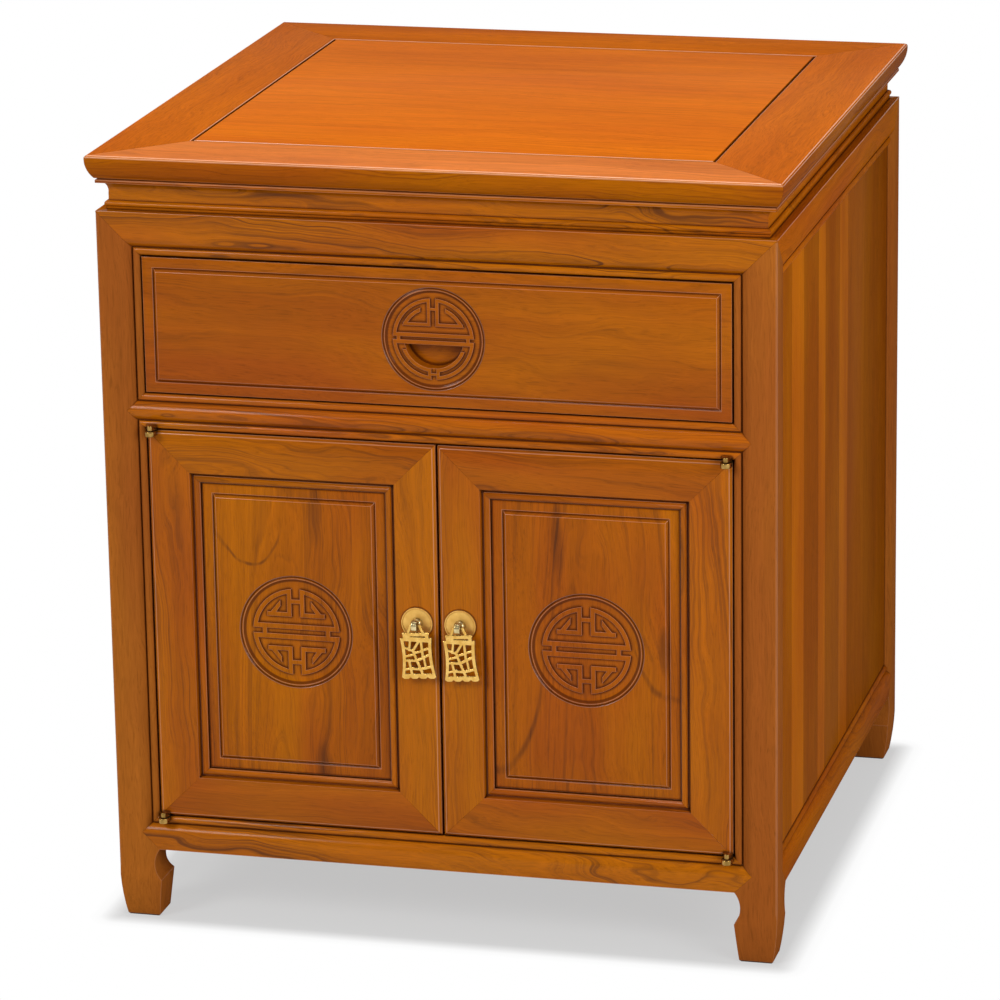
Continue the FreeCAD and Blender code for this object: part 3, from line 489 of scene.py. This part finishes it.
def ease(piece, node, radius, rounder=None, segments=2, shine=1.0, joint_rounder=None):
    """Rounds the sharp outer edges: fully where they are open, and a little at joints."""
    mesh = piece.data
    faces_at = {}
    for face in mesh.polygons:
        for key in face.edge_keys:
            faces_at.setdefault(key, []).append(face)
    values = []
    for edge in mesh.edges:
        value = 0.0
        pair = faces_at.get(edge.key, [])
        if len(pair) == 2:
            first, second = pair
            a, b = (mesh.vertices[index].co for index in edge.vertices)
            outward = (second.center - first.center).dot(first.normal) < 0
            if outward and first.normal.angle(second.normal, 0) > sharp_angle:
                if is_joint((a + b) / 2, node):
                    value = joint_rounder(a, b) if joint_rounder else joint_ease
                else:
                    value = rounder(a, b) if rounder else 1.0
        values.append(value)
    top = max(max(values), 0.001)
    weights = mesh.attributes.new("bevel_weight_edge", "FLOAT", "EDGE")
    weights.data.foreach_set("value", [value / top for value in values])
    mesh.materials.clear()
    mesh.materials.append(None)
    mesh.materials.append(None)
    sharp = piece.modifiers.new("ease", "BEVEL")
    sharp.width = radius * top
    sharp.segments = segments
    sharp.limit_method = "WEIGHT"
    sharp.use_clamp_overlap = False
    sharp.loop_slide = False
    sharp.material = 1
    only(piece)
    bpy.ops.object.modifier_apply(modifier=sharp.name)
    # Open eased faces are marked, to be painted pale as edge wear and as a painted highlight,
    # and given more coat.
    worn = [shine if face.material_index == 1 and not is_joint(face.center, node, 0.6 * mm)
            else 0.0 for face in piece.data.polygons]
    mark = piece.data.attributes.new("arris", "FLOAT", "FACE")
    mark.data.foreach_set("value", worn)
    piece.data.materials.clear()


def lay_grain(piece, order, heart, lean, seed, tone, figure, red):
    """Writes each board's own grain: how far along it, across it and deep in it a point is.

    heart is where the tree's heart lay, across and deep, and lean how the board leans from it.
    """
    axes = ["xyz".index(letter) for letter in order]
    spots = [vertex.co for vertex in piece.data.vertices]
    middle = [(min(spot[axis] for spot in spots) + max(spot[axis] for spot in spots)) / 2
              for axis in range(3)]
    values = []
    places = []
    for spot in spots:
        along, across, deep = (spot[axis] - middle[axis] for axis in axes)
        places += [along, across, deep]
        values += [along + seed * 0.731, across + heart[0] + along * lean[0],
                   deep + heart[1] + along * lean[1]]
    grain = piece.data.attributes.new("grain", "FLOAT_VECTOR", "POINT")
    grain.data.foreach_set("vector", values)
    centred = piece.data.attributes.new("spot", "FLOAT_VECTOR", "POINT")
    centred.data.foreach_set("vector", places)
    board = piece.data.attributes.new("board", "FLOAT_VECTOR", "POINT")
    board.data.foreach_set("vector", [tone, figure, red] * len(spots))


def settle(piece, node, finish=None):
    """Gives a finished piece its finish and body, and puts it in its solid's place."""
    piece.data.materials.clear()
    piece.data.materials.append(finish or finishes[slot_of[node]])
    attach(piece, body_of[node])
    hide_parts(node)


def case_corner(a, b):
    """The case's outer upright corners are rounder than its other edges."""
    for spot in (a, b):
        in_from_ends = min(spot.y - front, back - spot.y)
        if side - abs(spot.x) > corner_band or in_from_ends > corner_band:
            return 1.0
    return corner_ease if abs(a.z - b.z) > 20 * mm else 1.0


def resized(piece, chosen, shares, centre):
    """Resizes the points of a piece that pass a test, about a centre."""
    only(piece)
    bpy.ops.object.mode_set(mode="EDIT")
    bpy.ops.mesh.select_mode(type="VERT")
    bpy.ops.mesh.select_all(action="DESELECT")
    bpy.ops.object.mode_set(mode="OBJECT")
    for vertex in piece.data.vertices:
        vertex.select = chosen(vertex.co)
    bpy.ops.object.mode_set(mode="EDIT")
    bpy.ops.transform.resize(value=shares, center_override=centre)
    bpy.ops.object.mode_set(mode="OBJECT")


def shape_moulding(piece, outline):
    """Steepens the door frame's shoulder and turns the hollow inside it into a round bead."""
    low, high = outline
    for axis in (0, 2):
        for edge, inward in ((low[axis], 1), (high[axis], -1)):
            shares, centre = [1.0, 1.0, 1.0], [0.0, 0.0, 0.0]
            shares[axis] = shoulder_share
            centre[axis] = edge + inward * shoulder[1]
            resized(piece,
                    lambda spot: shoulder[0] < (spot[axis] - edge) * inward < shoulder[1],
                    shares, centre)

    def inset(spot):
        return min(spot.x - low.x, high.x - spot.x, spot.z - low.z, high.z - spot.z)

    resized(piece,
            lambda spot: bead[0] < inset(spot) < bead[1] and lip_level < spot.y < dip_level,
            (1.0, -bead_swell, 1.0), (0.0, lip_level, 0.0))


def top_quirk(a, b):
    """The top panel's upper edges are eased more, which leaves a small quirk all round it."""
    return quirk_ease if min(a.z, b.z) > top_level - 0.1 * mm else joint_ease


def light_top(piece, is_panel):
    """The top's upper arris catches the light, and so do its panel's front and back quirks."""
    for face, entry in zip(piece.data.polygons, piece.data.attributes["arris"].data):
        high = face.center.z > top_level - quirk_depth
        if is_panel:
            sloped = 0.3 < abs(face.normal.y) and 0.2 < face.normal.z < 0.97
            entry.value = 1.5 if sloped and high else 0.0
        elif not high:
            entry.value *= 0.3


def board(node, order, heart=(0.0, 0.09), lean=(0.0, 0.0), seed=0, tone=0.0, figure=0.4,
          red=0.0, radius=0.45, rounder=None, finish=None, shine=1.0, frame_box=None,
          joint_rounder=None):
    """Makes a board of the case from its solid: eased edges, its own grain and its finish.

    order names the axes along, across and deep into the board. heart, lean and seed set its
    grain, tone how light it is, figure how strong its streaks are and red how red it is.
    radius is the ease of its edges in millimetres.
    """
    piece = worked_copy(node, node + "_board")
    ease(piece, node, radius * mm, rounder, 2, shine, joint_rounder)
    if frame_box:
        shape_moulding(piece, frame_box)
    if node.startswith(("top_frame", "top_panel")):
        light_top(piece, node == "top_panel")
    smoothed(piece)
    lay_grain(piece, order, heart, lean, seed, tone, figure, red)
    settle(piece, node, finish)
    return piece


def make_case():
    for index, node in enumerate(("post_front_left", "post_front_right", "post_back_left",
                                  "post_back_right")):
        board(node, "zxy", (0.11, 0.04), (0.01, 0.0), 3 + index, 0.0, 0.10, 0.0,
              rounder=case_corner, finish=post_wood, shine=0.35)
    board("top_rail_front", "xzy", (0.03, 0.05), (0.03, 0.02), 11, 0.04, 0.85)
    board("top_rail_back", "xzy", (0.04, 0.05), (0.02, 0.02), 12, 0.0, 0.4)
    board("top_rail_left", "yzx", (0.04, 0.05), (0.02, 0.02), 13, 0.4, 0.5, finish=quiet_wood)
    board("top_rail_right", "yzx", (0.03, 0.06), (0.03, 0.02), 14, 0.4, 0.3, finish=quiet_wood)
    board("middle_rail", "xzy", (0.02, 0.04), (0.03, 0.02), 15, 0.34, 0.75)
    board("bottom_rail_front", "xzy", (0.03, 0.04), (0.02, 0.03), 16, 0.04, 0.85)
    board("bottom_rail_back", "xzy", (0.03, 0.04), (0.02, 0.03), 17, 0.0, 0.4)
    for index, name in enumerate(("left", "right")):
        board("bottom_rail_" + name, "yzx", (0.03, 0.04), (0.02, 0.03), 18 + index, 0.0, 0.35,
              finish=quiet_wood)
    for index, name in enumerate(("left", "right")):
        board("side_panel_" + name, "zyx", seed=21 + index, figure=0.1)
    board("back_panel", "zxy", (0.0, 0.06), (0.0, 0.02), 23, -0.15, 0.3)
    board("cupboard_floor", "xyz", (0.0, 0.06), (0.0, 0.02), 24, 0.0, 0.3)


def make_top():
    board("top_frame_front", "xyz", (0.06, 0.05), (0.0, 0.0), 31, 0.0, 0.26, radius=0.7,
          finish=top_front_sheen_wood)
    board("top_frame_back", "xyz", (0.06, 0.05), (0.0, 0.0), 32, -0.52, 0.30)
    board("top_frame_left", "yxz", (0.06, 0.05), (0.0, 0.0), 33, -0.34, 0.22, 0.05)
    board("top_frame_right", "yxz", (0.05, 0.05), (0.0, 0.0), 34, -0.24, 0.20, 0.05)
    board("top_panel", "xyz", (0.30, 0.03), (0.03, 0.0), 35, 0.10, 0.25,
          joint_rounder=top_quirk)
    board("top_batten", "yxz", seed=36)
    board("waist_front", "xzy", (0.02, 0.04), (0.02, 0.03), 37, 0.08, 0.85)
    board("waist_back", "xzy", (0.02, 0.04), (0.02, 0.03), 38, 0.0, 0.4)
    board("waist_left", "yzx", (0.02, 0.04), (0.02, 0.03), 39, 0.3, 0.5, finish=quiet_wood)
    board("waist_right", "yzx", (0.02, 0.04), (0.02, 0.03), 40, 0.3, 0.4, finish=quiet_wood)


def make_drawer():
    board("drawer_front", "xzy", (0.02, 0.09), (0.02, 0.01), 41, -0.08, 0.24, 0.12, 0.26,
          finish=drawer_wood, shine=0.8)
    for index, name in enumerate(("left", "right")):
        board("drawer_side_" + name, "yzx", seed=42 + index)
        board("drawer_runner_" + name, "yzx", seed=44 + index)
        board("drawer_kicker_" + name, "yzx", seed=46 + index)
    board("drawer_back", "xzy", seed=48)
    board("drawer_bottom", "xyz", seed=49)


def make_doors():
    for index, name in enumerate(("left", "right")):
        part = "door_%s_" % name
        seed = 51 + 10 * index
        rail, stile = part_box(part + "top_rail"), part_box(part + "hinge_stile")
        outline = [Vector((rail[end].x, 0, stile[end].z)) for end in (0, 1)]
        board(part + "top_rail", "xzy", (0.03, 0.05), (0.03, 0.02), seed, -0.14, 0.55, 0.06,
              frame_box=outline)
        board(part + "bottom_rail", "xzy", (0.03, 0.05), (0.04, 0.02), seed + 1, 0.02, 0.5,
              frame_box=outline)
        board(part + "hinge_stile", "zxy", (0.06, 0.04), (0.02, 0.02), seed + 2, 0.06, 0.5,
              frame_box=outline)
        board(part + "meeting_stile", "zxy", (0.06, 0.05), (0.02, 0.0), seed + 3, 0.06, 0.35,
              frame_box=outline)
        board(part + "panel", "zxy", (0.01, 0.035), (0.02, 0.07), seed + 4, -0.03, 0.45, 0.0,
              0.26, finish=right_panel_wood if index else left_panel_wood, shine=0.9)


def soften(piece, grain_size, rounds, swell=0.0):
    """Turns a crisp piece into one skin, rubs its edges round and fills it, as on a casting."""
    only(piece)
    skin = piece.modifiers.new("skin", "REMESH")
    skin.mode = "VOXEL"
    skin.voxel_size = grain_size
    bpy.ops.object.modifier_apply(modifier=skin.name)
    rub = piece.modifiers.new("rub", "SMOOTH")
    rub.factor = 0.5
    rub.iterations = rounds
    bpy.ops.object.modifier_apply(modifier=rub.name)
    bpy.ops.object.mode_set(mode="EDIT")
    bpy.ops.mesh.select_all(action="SELECT")
    bpy.ops.transform.shrink_fatten(value=swell)
    bpy.ops.object.mode_set(mode="OBJECT")
    bpy.ops.object.shade_smooth()
    # Faces that turn sideways are marked, to be painted darker as shade.
    flank = piece.data.attributes.new("flank", "FLOAT", "POINT")
    flank.data.foreach_set("value", [1 - abs(vertex.normal.y) for vertex in piece.data.vertices])


def ball_at(place, radius, shares=(1, 1, 1)):
    bpy.ops.object.select_all(action="DESELECT")
    bpy.ops.mesh.primitive_uv_sphere_add(segments=24, ring_count=12, radius=radius,
                                         location=place)
    ball = bpy.context.object
    ball.scale = shares
    bpy.ops.object.transform_apply(location=True, rotation=True, scale=True)
    return ball


def bar_between(place, start, end, thickness, depth):
    """A flat bar of the pendant's lattice, all in millimetres, between two points of it."""
    (x0, z0), (x1, z1) = start, end
    bpy.ops.object.select_all(action="DESELECT")
    bpy.ops.mesh.primitive_cube_add(size=1.0)
    bar = bpy.context.object
    bar.scale = (math.hypot(x1 - x0, z1 - z0) * mm, depth * mm, thickness * mm)
    bar.rotation_euler = (0, math.atan2(z0 - z1, x1 - x0) - pendant_tilt, 0)
    bar.location = hung(place, (x0 + x1) / 2, (z0 + z1) / 2)
    bpy.ops.object.transform_apply(location=True, rotation=True, scale=True)
    return bar


def hung(pivot, across, up):
    """Where a point of the pendant is, from its pivot, across and up the hanging plate."""
    turn, rise = math.cos(pendant_tilt), math.sin(pendant_tilt)
    return pivot + Vector((across * turn - up * rise, 0, across * rise + up * turn)) * mm


def join(pieces):
    """Joins the pieces into the first of them."""
    bpy.ops.object.select_all(action="DESELECT")
    for piece in pieces:
        piece.select_set(True)
    bpy.context.view_layer.objects.active = pieces[0]
    bpy.ops.object.join()
    return pieces[0]


pendant_tilt = math.radians(4)

# The lattice's added bars: their two ends, in millimetres across and up from the pivot
lattice_bars = [((-5.2, -13.5), (-6.6, -21.5)), ((5.6, -20.8), (11.8, -19.2)),
                ((-2.4, -23.4), (5.4, -21.4)), ((-10.8, -26.4), (-1.4, -24.2)),
                ((5.4, -27.6), (6.6, -37.4)), ((-11.6, -37.6), (-3.6, -36.0))]


def make_pulls():
    """Round plates with a rim, round-nosed eyes and cast pendants with ball-tipped heads."""
    rim_width, rim_slope, dish_depth, dish_ring = 0.9 * mm, 0.35 * mm, 0.6 * mm, 1.2 * mm
    boss_radius, boss_shares = 4.4 * mm, (1.0, 0.75, 1.0)
    tip_radius, tip_drop, tip_spread = 1.5 * mm, -6.9, 10.2
    bar_width, bar_depth = 1.7, 1.8
    for name in ("left", "right"):
        pivot = Vector(joints["pendant_%s_swing" % name]["pos_m"])
        low, high = (Vector(corner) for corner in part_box("pull_plate_" + name))
        bpy.ops.object.select_all(action="DESELECT")
        bpy.ops.mesh.primitive_cylinder_add(
            vertices=72, radius=(high.x - low.x) / 2, depth=high.y - low.y,
            location=(low + high) / 2, rotation=(math.pi / 2, 0, 0))
        plate = bpy.context.object
        plate.name = "plate_%s" % name
        bpy.ops.object.transform_apply(location=True, rotation=True, scale=True)
        bpy.ops.object.mode_set(mode="EDIT")
        bpy.ops.mesh.select_mode(type="FACE")
        bpy.ops.mesh.select_all(action="DESELECT")
        bpy.ops.object.mode_set(mode="OBJECT")
        for face in plate.data.polygons:
            face.select = face.normal.y < -0.9
        bpy.ops.object.mode_set(mode="EDIT")
        bpy.ops.mesh.inset(thickness=rim_width)
        bpy.ops.mesh.inset(thickness=rim_slope)
        bpy.ops.transform.translate(value=(0, dish_depth, 0))
        bpy.ops.mesh.inset(thickness=dish_ring)
        bpy.ops.object.mode_set(mode="OBJECT")
        bevel = plate.modifiers.new("ease", "BEVEL")
        bevel.width = 0.2 * mm
        bevel.segments = 2
        bevel.limit_method = "ANGLE"
        bpy.ops.object.modifier_apply(modifier=bevel.name)
        smoothed(plate, 30)
        settle(plate, "pull_plate_" + name, plate_brass)

        eye = worked_copy("pull_eye_" + name, "eye_" + name, False)
        boss = ball_at(Vector((pivot.x, low.y, pivot.z)), boss_radius, boss_shares)
        soften(join([eye, boss]), 0.25 * mm, 12)
        settle(eye, "pull_eye_" + name, eye_brass)

        pendant = worked_copy("pull_pendant_" + name, "pendant_" + name, False)
        tips = [ball_at(hung(pivot, across, tip_drop), tip_radius)
                for across in (-tip_spread, tip_spread)]
        bars = [bar_between(pivot, start, end, bar_width, bar_depth)
                for start, end in lattice_bars]
        pendant = join([pendant] + tips + bars)
        soften(pendant, 0.22 * mm, 4, 0.15 * mm)
        settle(pendant, "pull_pendant_" + name)


def make_pivots():
    """Pivots at the doors' outer corners: each has a small cap above a wider ring."""
    for node in ("hinge_rail_leaves", "hinge_door_leaves_left", "hinge_door_leaves_right"):
        piece = worked_copy(node, node + "_brass")
        ease(piece, node, 0.5 * mm, None, 3)
        lowest, highest = upper_caps if node == "hinge_rail_leaves" else lower_caps
        for hinge in ("door_left_hinge", "door_right_hinge"):
            pin = Vector(joints[hinge]["pos_m"])

            def on_cap(spot):
                near_pin = math.hypot(spot.x - pin.x, spot.y - pin.y) < cap_reach
                return near_pin and lowest < spot.z < highest

            resized(piece, on_cap, (cap_share, cap_share, 1.0), (pin.x, pin.y, 0.0))
        smoothed(piece, 50)
        settle(piece, node, hinge_brass)


def finish_small_parts():
    """The hidden catch and its strikes keep their solids and get their finishes."""
    for node in ("door_catch", "door_strike_left", "door_strike_right"):
        for entry in nodes[node].material_slots:
            entry.material = finishes[slot_of[node]]


def make_floor():
    """A pale floor that shows white round the cabinet and grey beneath it: a painted shadow over
    the footprint, darkened more by the real shadow there.
    """
    bpy.ops.object.select_all(action="DESELECT")
    bpy.ops.mesh.primitive_plane_add(size=24.0, location=(0.0, 4.0, 0.0))
    floor = bpy.context.object
    floor.name = "floor"
    bpy.ops.object.transform_apply(location=True, rotation=True, scale=True)
    sheet = Finish("pale_floor")
    place = sheet.node("ShaderNodeTexCoord", None, None, 3)
    sheet.out("Roughness", sheet.noise(place, 3.0) * 0.05 + 0.9)
    sheet.out("Base Color", sheet.mix(sheet.noise(place, 5.0), (0.40, 0.40, 0.40, 1),
                                      (0.44, 0.44, 0.44, 1)))
    x, y, _ = sheet.split(place)
    past_x = sheet.node("ShaderNodeMath", {"operation": "ABSOLUTE"}, {0: x}) - side
    past_y = sheet.node("ShaderNodeMath", {"operation": "ABSOLUTE"},
                        {0: y - (front + back) / 2}) - (back - front) / 2
    past_x = sheet.node("ShaderNodeMath", {"operation": "MAXIMUM"}, {0: past_x, 1: 0.0})
    past_y = sheet.node("ShaderNodeMath", {"operation": "MAXIMUM"}, {0: past_y, 1: 0.0})
    past = (past_x * past_x + past_y * past_y) ** 0.5
    # Over the cabinet's footprint the floor is painted grey as a shadow, fading to white within
    # a few centimetres; the real shadow shows only there.
    clear = sheet.ramp(past * 36.0, (0.0, 0.52), (0.25, 0.66), (0.65, 0.95), (1.0, 1.0))
    white = sheet.node("ShaderNodeBsdfDiffuse", None, {"Color": (0.35, 0.355, 0.355, 1)})
    glow = sheet.node("ShaderNodeEmission", None, {"Color": (1, 1, 1, 1), "Strength": 1.0})
    shown = sheet.node("ShaderNodeMixShader", None, {0: clear, 1: white, 2: glow})
    rays = [sheet.node("ShaderNodeLightPath", None, None, kind)
            for kind in ("Is Camera Ray", "Is Glossy Ray", "Is Transmission Ray")]
    seen = sheet.ramp(rays[0] + rays[1] + rays[2], (0.0, 0.0), (1.0, 1.0))
    both = sheet.node("ShaderNodeMixShader", None, {
        0: seen, 1: Value(sheet, sheet.shader.outputs[0]), 2: shown})
    sheet.tree.links.new(both.socket, sheet.tree.nodes["Material Output"].inputs["Surface"])
    floor.data.materials.append(sheet.material)


def make_world():
    """A dim room for the light, and a white one to the eye and in the brass."""
    world = bpy.data.worlds.new("studio")
    bpy.context.scene.world = world
    world.use_nodes = True
    tree = world.node_tree
    dim = tree.nodes["Background"]
    dim.inputs["Color"].default_value = (1.0, 0.98, 0.96, 1)
    dim.inputs["Strength"].default_value = 0.40
    shown = tree.nodes.new("ShaderNodeBackground")
    shown.inputs["Color"].default_value = (1, 1, 1, 1)
    path = tree.nodes.new("ShaderNodeLightPath")
    way = tree.nodes.new("ShaderNodeTexCoord")
    parts = tree.nodes.new("ShaderNodeSeparateXYZ")
    depth = tree.nodes.new("ShaderNodeMapRange")
    dim_end, bright_end, dimmest, brightest = -0.35, 0.15, 0.28, 1.0
    for socket, value in enumerate((dim_end, bright_end, dimmest, brightest), 1):
        depth.inputs[socket].default_value = value
    bright = tree.nodes.new("ShaderNodeMath")
    bright.operation = "MAXIMUM"
    tree.links.new(way.outputs["Generated"], parts.inputs[0])
    tree.links.new(parts.outputs["Y"], depth.inputs["Value"])
    tree.links.new(depth.outputs[0], bright.inputs[0])
    tree.links.new(path.outputs["Is Camera Ray"], bright.inputs[1])
    tree.links.new(bright.outputs[0], shown.inputs["Strength"])
    first = tree.nodes.new("ShaderNodeMath")
    second = tree.nodes.new("ShaderNodeMath")
    second.use_clamp = True
    tree.links.new(path.outputs["Is Camera Ray"], first.inputs[0])
    tree.links.new(path.outputs["Is Glossy Ray"], first.inputs[1])
    tree.links.new(first.outputs[0], second.inputs[0])
    tree.links.new(path.outputs["Is Transmission Ray"], second.inputs[1])
    both = tree.nodes.new("ShaderNodeMixShader")
    tree.links.new(second.outputs[0], both.inputs[0])
    tree.links.new(dim.outputs[0], both.inputs[1])
    tree.links.new(shown.outputs[0], both.inputs[2])
    tree.links.new(both.outputs[0], tree.nodes["World Output"].inputs["Surface"])


def add_lamp(name, place, aim, size, power):
    lamp = bpy.data.lights.new(name, "AREA")
    lamp.shape = "DISK"
    lamp.size = size
    lamp.energy = power
    holder = bpy.data.objects.new(name, lamp)
    holder.location = place
    holder.rotation_euler = (Vector(aim) - Vector(place)).to_track_quat("-Z", "Y").to_euler()
    bpy.context.scene.collection.objects.link(holder)


def make_camera():
    """The photograph's viewing angle, from right of the middle and above, with a long lens."""
    yaw, pitch, roll = 0.25242, 0.28715, -0.01568
    stand = (1.04901, front - 3.85806, 1.56348)
    sensor_width, picture_widths = 36.0, 5.122
    ahead = Vector((-math.sin(yaw) * math.cos(pitch), math.cos(yaw) * math.cos(pitch),
                    -math.sin(pitch)))
    level = Vector((math.cos(yaw), math.sin(yaw), 0.0))
    upright = level.cross(ahead)
    right = level * math.cos(roll) + upright * math.sin(roll)
    up = upright * math.cos(roll) - level * math.sin(roll)
    lens = bpy.data.cameras.new("view")
    lens.lens = sensor_width * picture_widths
    lens.clip_end = 60.0
    camera = bpy.data.objects.new("view", lens)
    turn = Matrix((right, up, -ahead)).transposed().to_4x4()
    camera.matrix_world = Matrix.Translation(stand) @ turn
    bpy.context.scene.collection.objects.link(camera)
    bpy.context.scene.camera = camera


def make_studio():
    make_floor()
    make_world()
    aim = (0.0, 0.0, 0.35)
    add_lamp("window_left", (-2.4, -3.2, 2.6), aim, 1.6, 92.0)
    add_lamp("overhead", (-0.2, 0.2, 3.2), (0.0, 0.0, 0.6), 1.8, 48.0)
    add_lamp("right_fill", (1.9, -1.5, 1.1), aim, 1.2, 27.0)
    bpy.context.scene.view_settings.view_transform = "Standard"


make_camera()
make_case()
make_top()
make_drawer()
make_doors()
make_pulls()
make_pivots()
finish_small_parts()
make_studio()
